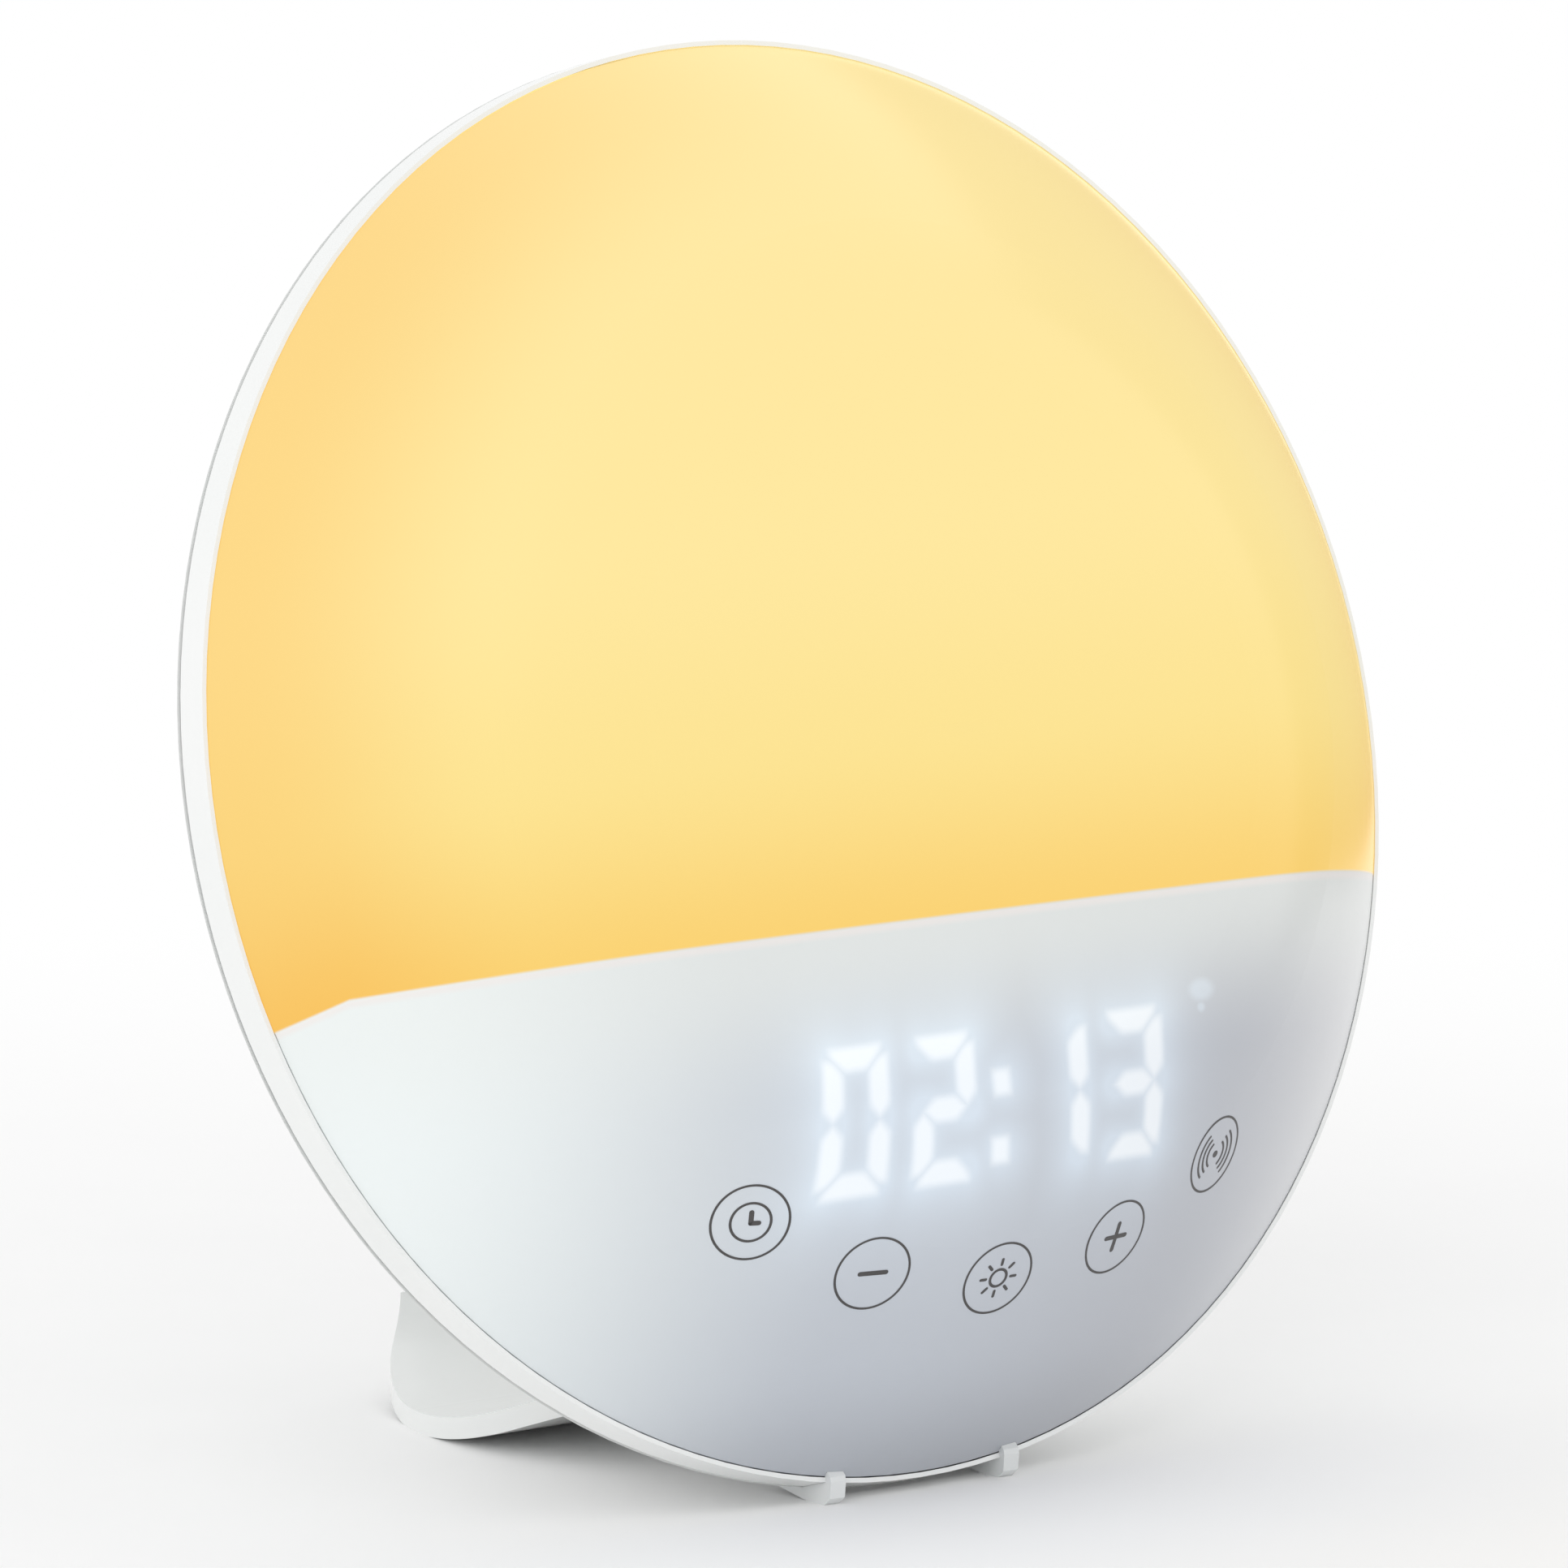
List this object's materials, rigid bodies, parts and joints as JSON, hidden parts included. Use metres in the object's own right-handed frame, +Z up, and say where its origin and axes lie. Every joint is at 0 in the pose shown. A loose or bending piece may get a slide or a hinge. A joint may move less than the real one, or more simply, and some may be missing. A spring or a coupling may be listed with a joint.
{
  "type": "sunrise alarm clock",
  "caption": "Round domed wake-up lamp with clock digits and touch keys, leaning back on a ribbon loop stand.",
  "frame": {"origin": "on the table under the middle of the footprint, bottom centre of the bounding box", "axes": "+X to the clock's own left-to-right as seen from the front, +Y to the back, +Z up; the face looks towards -Y and leans back 15 degrees"},
  "size_m": [0.17, 0.1034, 0.1657],
  "materials": {
    "opal_plastic": "satin, translucent, lit from within",
    "white_gloss": "gloss",
    "clear_rubber": "semi-clear, soft",
    "inner_plastic": "matt",
    "reflector_white": "satin",
    "circuit_board": "solder mask",
    "led_plastic": "clear lens",
    "segment_plastic": "milky",
    "black_plastic": "matt",
    "zinc_steel": "bright zinc",
    "cell_steel": "brushed",
    "black_foam": "conductive foam",
    "paper_cone": "pressed paper",
    "soft_rubber": "soft",
    "white_button": "fine texture",
    "white_ribbon": "flat cable"
  },
  "bodies": {
    "clock": {"front_diffuser": "opal_plastic", "bezel_ring": "white_gloss", "rear_housing": "white_gloss", "loop_stand": "white_gloss", "front_foot_left": "clear_rubber", "front_foot_right": "clear_rubber", "inner_chassis": "inner_plastic", "lamp_reflector": "reflector_white", "lamp_board": "circuit_board", "lamp_leds": "led_plastic", "display_block": "black_plastic", "display_segments": "segment_plastic", "display_board": "circuit_board", "touch_board": "circuit_board", "touch_pads": "black_foam", "main_board": "circuit_board", "board_components": "black_plastic", "wireless_module": "zinc_steel", "ribbon_cable": "white_ribbon", "speaker_frame": "inner_plastic", "speaker_magnet": "cell_steel", "speaker_surround": "soft_rubber", "button_board": "circuit_board", "button_switches": "black_plastic", "dc_socket": "black_plastic", "battery_holder": "black_plastic", "battery_contact": "cell_steel", "coin_cell": "cell_steel", "housing_screws": "zinc_steel", "chassis_screws": "zinc_steel", "speaker_screws": "zinc_steel", "stand_screws": "zinc_steel"},
    "alarm_one_key": {"button_alarm_one": "white_button"},
    "alarm_two_key": {"button_alarm_two": "white_button"},
    "snooze_key": {"button_snooze": "white_button"},
    "cone": {"speaker_cone": "paper_cone"},
    "door": {"battery_door": "white_button"}
  },
  "joints": [
    {"name": "alarm_one_press", "type": "slide", "parent": "clock", "child": "alarm_one_key", "axis": [0, -0.9659, 0.2588], "range_m": [0, 0.0008], "stiffness_N_per_m": 1500, "springref_m": -0.0002},
    {"name": "alarm_two_press", "type": "slide", "parent": "clock", "child": "alarm_two_key", "axis": [0, -0.9659, 0.2588], "range_m": [0, 0.0008], "stiffness_N_per_m": 1500, "springref_m": -0.0002},
    {"name": "snooze_press", "type": "slide", "parent": "clock", "child": "snooze_key", "axis": [0, -0.9659, 0.2588], "range_m": [0, 0.0008], "stiffness_N_per_m": 1500, "springref_m": -0.0002},
    {"name": "cone_stroke", "type": "slide", "parent": "clock", "child": "cone", "axis": [0, 0.9659, -0.2588], "range_m": [-0.0005, 0.0005], "stiffness_N_per_m": 1000},
    {"name": "door_removal", "type": "slide", "parent": "clock", "child": "door", "axis": [0, 0.9659, -0.2588], "range_m": [0, 0.012]}
  ]
}
